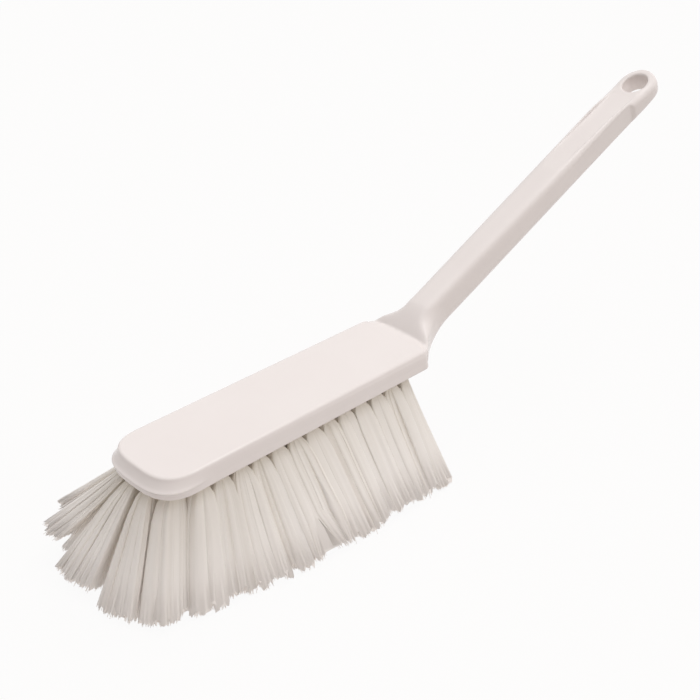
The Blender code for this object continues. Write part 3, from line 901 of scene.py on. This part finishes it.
def moulded_plastic():
    """Warm white moulded plastic with a faint cloudiness, fine grain and a soft gloss."""
    made = Nodes("moulded_plastic_look")
    cloud = made.noise(scale=28, detail=4)
    colour = made.ramp(cloud, (0.3, (0.845, 0.797, 0.780)), (0.7, (0.860, 0.815, 0.798)))
    made.join(colour, made.shader.inputs["Base Color"])
    wear = made.noise(scale=60, detail=5)
    rough = made.span(wear, low=0.20, high=0.22, from_low=0.3, from_high=0.7)
    made.join(rough, made.shader.inputs["Roughness"])
    made.shader.inputs["IOR"].default_value = PLASTIC_IOR
    made.bump(made.noise(scale=420, detail=2), distance=0.00001, strength=0.2)
    return made.material


def filament_plastic():
    """Pale filament plastic with painted shade toward the root, where the block shades the tufts,
    and each filament a little different.
    """
    made = Nodes("filament_look")
    from_root = made.add("ShaderNodeAttribute", attribute_name="from_root").outputs["Fac"]
    strand = made.add("ShaderNodeAttribute", attribute_name="strand").outputs["Fac"]
    # Darker toward the root: painted shade standing in for the shadow under the block and between
    # the tufts' roots
    down = made.ramp(
        from_root,
        (0.0, (0.84, 0.80, 0.71)),
        (0.15, (0.91, 0.88, 0.83)),
        (0.55, (0.975, 0.95, 0.915)),
        (1.0, (0.985, 0.955, 0.93)),
    )
    tint = made.ramp(
        strand,
        (0.0, (0.90, 0.89, 0.87)),
        (0.45, (0.985, 0.982, 0.978)),
        (1.0, (1.0, 1.0, 1.0)),
    )
    made.join(made.multiply(down, tint), made.shader.inputs["Base Color"])
    made.join(made.span(strand, low=0.30, high=0.46), made.shader.inputs["Roughness"])
    made.shader.inputs["IOR"].default_value = PLASTIC_IOR
    return made.material


def anchor_metal():
    """Dull zinc-plated strip."""
    made = Nodes("anchor_metal_look")
    grain = made.noise(scale=900, detail=3)
    colour = made.ramp(grain, (0.35, (0.56, 0.56, 0.55)), (0.65, (0.68, 0.68, 0.66)))
    made.join(colour, made.shader.inputs["Base Color"])
    made.shader.inputs["Metallic"].default_value = 1
    rough = made.span(made.noise(scale=500, detail=2), low=0.32, high=0.48)
    made.join(rough, made.shader.inputs["Roughness"])
    return made.material


def floor_material():
    """White to the camera and in reflections, with part of the shadow; warm light on the object."""
    made = Nodes("floor_look")
    made.shader.inputs["Roughness"].default_value = 0.9
    patches = made.noise(scale=3, detail=2)
    colour = made.ramp(patches, (0, (0.70, 0.63, 0.58)), (1, (0.71, 0.64, 0.59)))
    made.join(colour, made.shader.inputs["Base Color"])
    white = made.add("ShaderNodeEmission")
    white.inputs["Strength"].default_value = 1
    seen = made.add("ShaderNodeLightPath")
    either = made.add("ShaderNodeMath", operation="MAXIMUM")
    shown = made.add("ShaderNodeMath", operation="MAXIMUM")
    made.join(seen.outputs["Is Camera Ray"], either.inputs[0])
    made.join(seen.outputs["Is Glossy Ray"], either.inputs[1])
    made.join(either.outputs[0], shown.inputs[0])
    made.join(seen.outputs["Is Transmission Ray"], shown.inputs[1])
    share = made.span(shown.outputs[0], low=FLOOR_GLOW_SHARE, high=FLOOR_WHITE_SHARE)
    mixed = made.add("ShaderNodeMixShader")
    made.join(share, mixed.inputs["Fac"])
    made.join(made.shader.outputs["BSDF"], mixed.inputs[1])
    made.join(white.outputs["Emission"], mixed.inputs[2])
    output = made.tree.nodes["Material Output"]
    made.join(mixed.outputs["Shader"], output.inputs["Surface"])
    return made.material


# Stage


def floor():
    """A flat floor just under the bristles' ends."""

    def build(bm):
        bmesh.ops.create_grid(
            bm, x_segments=FLOOR_CELLS, y_segments=FLOOR_CELLS, size=FLOOR_HALF_SIDE
        )

    made = add_object("floor", mesh_from("floor", build), floor_material())
    made.location.z = STANDING_Z - FLOOR_GAP


def world():
    """White to the camera and in reflections; on the object, a soft glow and two soft lights."""
    made = bpy.data.worlds.new("studio")
    bpy.context.scene.world = made
    made.use_nodes = True
    tree = made.node_tree

    def number(operation, a, b):
        """The result of a sum, whose terms are numbers or sockets."""
        node = tree.nodes.new("ShaderNodeMath")
        node.operation = operation
        for socket, value in zip(node.inputs, (a, b)):
            if isinstance(value, (int, float)):
                socket.default_value = value
            else:
                tree.links.new(value, socket)
        return node.outputs[0]

    where = tree.nodes.new("ShaderNodeTexCoord").outputs["Generated"]

    def lobe(direction, strength, narrowness):
        """Light that is strongest from one direction and fades away from it."""
        node = tree.nodes.new("ShaderNodeVectorMath")
        node.operation = "DOT_PRODUCT"
        node.inputs[1].default_value = Vector(direction).normalized()
        tree.links.new(where, node.inputs[0])
        facing = number("MAXIMUM", node.outputs["Value"], 0)
        return number("MULTIPLY", number("POWER", facing, narrowness), strength)

    light = tree.nodes.new("ShaderNodeAddShader")
    for socket, colour, strength in (
        (light.inputs[0], SIDE_COLOUR, number("ADD", lobe(*SIDE_LIGHT), SKY_LEVEL)),
        (light.inputs[1], TOP_COLOUR, lobe(*TOP_LIGHT)),
    ):
        part = tree.nodes.new("ShaderNodeBackground")
        part.inputs["Color"].default_value = colour
        tree.links.new(strength, part.inputs["Strength"])
        tree.links.new(part.outputs["Background"], socket)
    white = tree.nodes["Background"]
    white.inputs["Color"].default_value = (1, 1, 1, 1)
    white.inputs["Strength"].default_value = 1
    seen = tree.nodes.new("ShaderNodeLightPath")
    shown = number("MAXIMUM", seen.outputs["Is Camera Ray"], seen.outputs["Is Glossy Ray"])
    shown = number("MAXIMUM", shown, seen.outputs["Is Transmission Ray"])
    mixed = tree.nodes.new("ShaderNodeMixShader")
    tree.links.new(shown, mixed.inputs["Fac"])
    tree.links.new(light.outputs["Shader"], mixed.inputs[1])
    tree.links.new(white.outputs["Background"], mixed.inputs[2])
    tree.links.new(mixed.outputs["Shader"], tree.nodes["World Output"].inputs["Surface"])


def edge_lamp():
    """A long soft lamp, turned toward its target."""
    light = bpy.data.lights.new("edge_light", "AREA")
    light.shape = "RECTANGLE"
    light.size, light.size_y = EDGE_LAMP_SIZE
    light.energy = EDGE_LAMP_POWER
    made = add_object("edge_light", light)
    place = Vector(EDGE_LAMP_PLACE)
    turn = (place - Vector(EDGE_LAMP_TARGET)).to_track_quat("Z", "Y").to_matrix().to_4x4()
    made.matrix_world = Matrix.Translation(place) @ turn


def camera():
    """The camera of the photograph."""
    turn, rise = CAMERA_TURN, CAMERA_RISE
    level = math.cos(rise)
    back = Vector((-math.sin(turn) * level, -math.cos(turn) * level, math.sin(rise)))
    right = Vector((math.cos(turn), -math.sin(turn), 0))
    up = back.cross(right)
    per_pixel = CAMERA_DISTANCE / FOCAL_PIXELS
    place = Vector((HEEL_X, 0, 0)) + back * CAMERA_DISTANCE
    place -= right * (HEEL_PIXEL[0] - PICTURE_SIDE / 2) * per_pixel
    place += up * (HEEL_PIXEL[1] - PICTURE_SIDE / 2) * per_pixel
    data = bpy.data.cameras.new("camera")
    data.sensor_width = SENSOR_WIDTH
    data.lens = FOCAL_PIXELS * SENSOR_WIDTH / PICTURE_SIDE
    data.clip_start = CLIP_START
    made = add_object("camera", data)
    turned = Matrix((right, up, back)).transposed().to_4x4()
    turned.translation = place
    made.matrix_world = turned
    bpy.context.scene.camera = made


# Body


def moulded_body(material):
    """Block and handle as one moulding, remeshed finely so that its edges come out soft.

    The crease where the neck leaves the block is smoothed more, the more the nearer to it.
    """
    body = add_object("moulded_body", block_mesh(), material)
    boolean(body, "UNION", add_object("handle_stock", handle_mesh()))
    boolean(body, "DIFFERENCE", trough_cutter())
    boolean(body, "DIFFERENCE", hanging_hole_cutter())
    boolean(body, "DIFFERENCE", scoop_cutter(-1))
    boolean(body, "DIFFERENCE", scoop_cutter(1))
    boolean(body, "DIFFERENCE", tuft_holes_cutter())
    fine = body.modifiers.new("fine", "REMESH")
    fine.mode = "VOXEL"
    fine.voxel_size = VOXEL
    fine.use_smooth_shade = True
    applied(body)
    soften = body.modifiers.new("soften", "SMOOTH")
    soften.factor = SMOOTHING_FACTOR
    soften.iterations = SMOOTHING_STEPS
    applied(body)
    near_neck = body.vertex_groups.new(name="near_neck")
    places = np.empty(len(body.data.vertices) * 3)
    body.data.vertices.foreach_get("co", places)
    along, across, height = places.reshape(-1, 3).T
    from_crease = np.hypot(along - HEEL_X - FOOT_START, across / NECK_SMOOTHING_WIDTH_SHARE)
    share = np.clip(1 - from_crease / NECK_SMOOTHING_REACH, 0, 1) * (height > -BLOCK_HEIGHT / 2)
    for level in range(1, NECK_SMOOTHING_LEVELS + 1):
        low, high = (level - 1) / NECK_SMOOTHING_LEVELS, level / NECK_SMOOTHING_LEVELS
        chosen = np.nonzero((share > low) & (share <= high))[0]
        near_neck.add(chosen.tolist(), high, "REPLACE")
    blend = body.modifiers.new("neck", "SMOOTH")
    blend.factor = SMOOTHING_FACTOR
    blend.iterations = NECK_SMOOTHING_STEPS
    blend.vertex_group = "near_neck"
    applied(body)
    body.data.shade_smooth()
    return body


bpy.context.scene.view_settings.view_transform = "Standard"
bpy.context.scene.cycles.diffuse_bounces = DIFFUSE_BOUNCES
camera()
world()
floor()
edge_lamp()

body = moulded_body(moulded_plastic())
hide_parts("block_and_handle")
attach(body, "root")

filament = filament_plastic()
chance = np.random.default_rng(RANDOM_SEED)
for name, x, y in tuft_places():
    tuft = filament_tuft(name.replace("tuft", "filaments"), x, y, chance, filament)
    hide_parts(name)
    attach(tuft, "root")

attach(anchors("tuft_anchors", anchor_metal()), "root")
